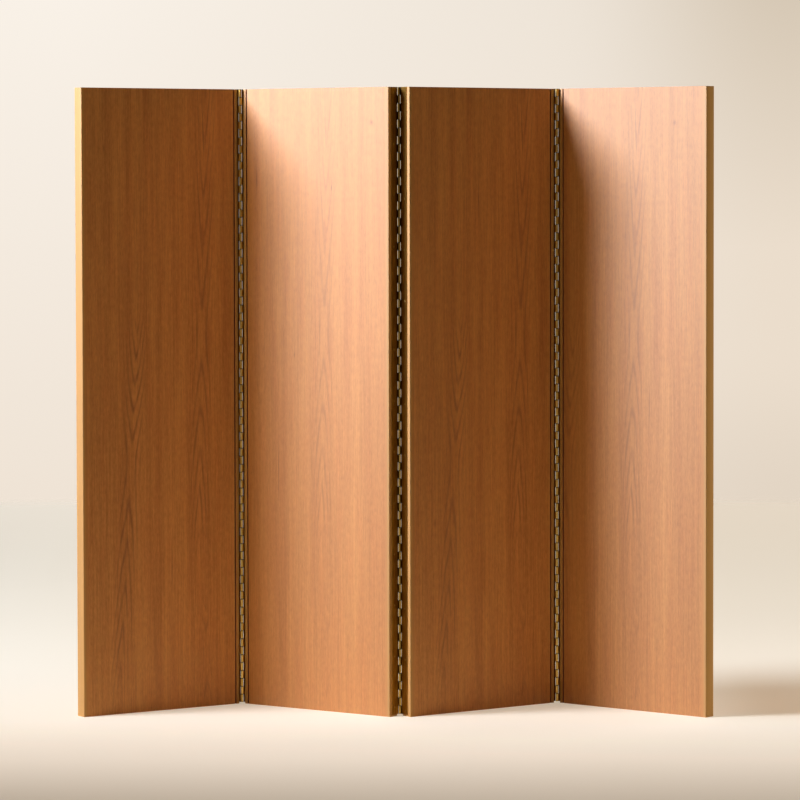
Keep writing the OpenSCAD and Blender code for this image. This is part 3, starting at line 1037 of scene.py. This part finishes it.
def make_world():
    world = bpy.data.worlds.new("studio")
    bpy.context.scene.world = world
    shop = Shop(world)
    x, y, z = shop.split(shop.new("ShaderNodeTexCoord").outputs["Generated"])
    height = shop.remap(z, -0.08, 0.045, smooth=False)
    # pale on the left, duller on the right, where it darkens again towards the top
    left = shop.blend(height, srgb(239, 227, 213), srgb(249, 241, 231))
    low_right = shop.blend(shop.remap(height, 0.0, 0.3), srgb(227, 213, 196),
                           srgb(235, 221, 204))
    right = shop.blend(shop.remap(height, 0.5, 1.0, smooth=False), low_right,
                       srgb(214, 200, 181))
    slow = shop.remap(x, -0.08, 0.04, 0.0, 0.34, smooth=False)
    fast = shop.remap(x, 0.035, 0.097, 0.0, 0.66)
    backdrop = shop.blend(shop.math("ADD", slow, fast), left, right)
    rays = shop.new("ShaderNodeLightPath")
    gloss = shop.math("MAXIMUM", rays.outputs["Is Glossy Ray"],
                      rays.outputs["Is Transmission Ray"])
    # the studio is pale behind the screen and dim on the camera's side
    facing = shop.remap(y, -0.05, 0.45, 0.06, 1.0)
    facing = shop.math("MULTIPLY", facing, shop.remap(x, -0.3, 0.7, 1.0, 0.4))
    shown = shop.math("MAXIMUM", rays.outputs["Is Camera Ray"],
                      shop.math("MULTIPLY", gloss, facing))
    fill = shop.new("ShaderNodeBackground")
    fill.inputs["Color"].default_value = ROOM_LIGHT
    fill.inputs["Strength"].default_value = ROOM_STRENGTH
    view = shop.new("ShaderNodeBackground")
    shop.feed(view.inputs["Color"], backdrop)
    view.inputs["Strength"].default_value = 1.0
    mix = shop.new("ShaderNodeMixShader")
    shop.feed(mix.inputs[0], shown)
    shop.feed(mix.inputs[1], fill.outputs[0])
    shop.feed(mix.inputs[2], view.outputs[0])
    out = shop.new("ShaderNodeOutputWorld")
    shop.feed(out.inputs["Surface"], mix.outputs[0])


def soft_light(name, place, target, size, watts, spread, colour=(1, 1, 1), seen_in="both"):
    """An oval lamp behind a grid, which keeps its light within the spread, in degrees."""
    data = bpy.data.lights.new(name, "AREA")
    data.shape = "ELLIPSE"
    data.size, data.size_y = size
    data.energy = watts
    data.color = colour
    lamp = bpy.data.objects.new(name, data)
    bpy.context.scene.collection.objects.link(lamp)
    lamp.location = place
    aim = Vector(target) - Vector(place)
    lamp.rotation_euler = aim.to_track_quat("-Z", "Y").to_euler()
    data.spread = math.radians(spread)
    lamp.visible_camera = False
    lamp.visible_diffuse = seen_in != "gloss"
    lamp.visible_glossy = seen_in != "colour"


# the camera that took the photograph, as fitted to the corners of the panels
CAMERA_PLACE = Vector((0.01650, -11.82563, 1.56876))
CAMERA_PITCH = -0.04039
CAMERA_ROLL = -0.00198
LENS = 181.345
LENS_SHIFT = -0.075


def make_camera():
    data = bpy.data.cameras.new("camera")
    data.sensor_width = 36
    data.lens = LENS
    data.shift_y = LENS_SHIFT
    data.clip_end = 100
    camera = bpy.data.objects.new("camera", data)
    bpy.context.scene.collection.objects.link(camera)
    forward = Vector((0, math.cos(CAMERA_PITCH), math.sin(CAMERA_PITCH)))
    level = Vector((1, 0, 0))
    up = level.cross(forward)
    right = math.cos(CAMERA_ROLL) * level + math.sin(CAMERA_ROLL) * up
    up = -math.sin(CAMERA_ROLL) * level + math.cos(CAMERA_ROLL) * up
    camera.matrix_world = Matrix((
        (right.x, up.x, -forward.x, CAMERA_PLACE.x),
        (right.y, up.y, -forward.y, CAMERA_PLACE.y),
        (right.z, up.z, -forward.z, CAMERA_PLACE.z),
        (0, 0, 0, 1),
    ))
    bpy.context.scene.camera = camera


make_floor()
make_world()
make_camera()
KEY_PLACE, KEY_SIZE = (-5.493, -1.680, 4.726), (2.336, 2.745)
soft_light("key", KEY_PLACE, (0, 0, 2.2), KEY_SIZE, 143, 90, (1.0, 0.98, 0.965))
# the lacquer's sheen under the same lamp
soft_light("key_sheen", KEY_PLACE, (0, 0, 2.4), KEY_SIZE, 180, 70, seen_in="gloss")
soft_light("left_fill", (-3.5, -2.0, 2.6), (-0.3, 0.1, 1.4), (1.0, 1.2), 9, 100,
           (1.0, 0.90, 0.78), seen_in="colour")
soft_light("side_fill", (4.7, 2.4, 0.6), (0.9, 0, 1.0), (2.4, 1.0), 21, 60,
           (1.0, 0.95, 0.88), seen_in="colour")
bpy.context.scene.view_settings.view_transform = "Standard"
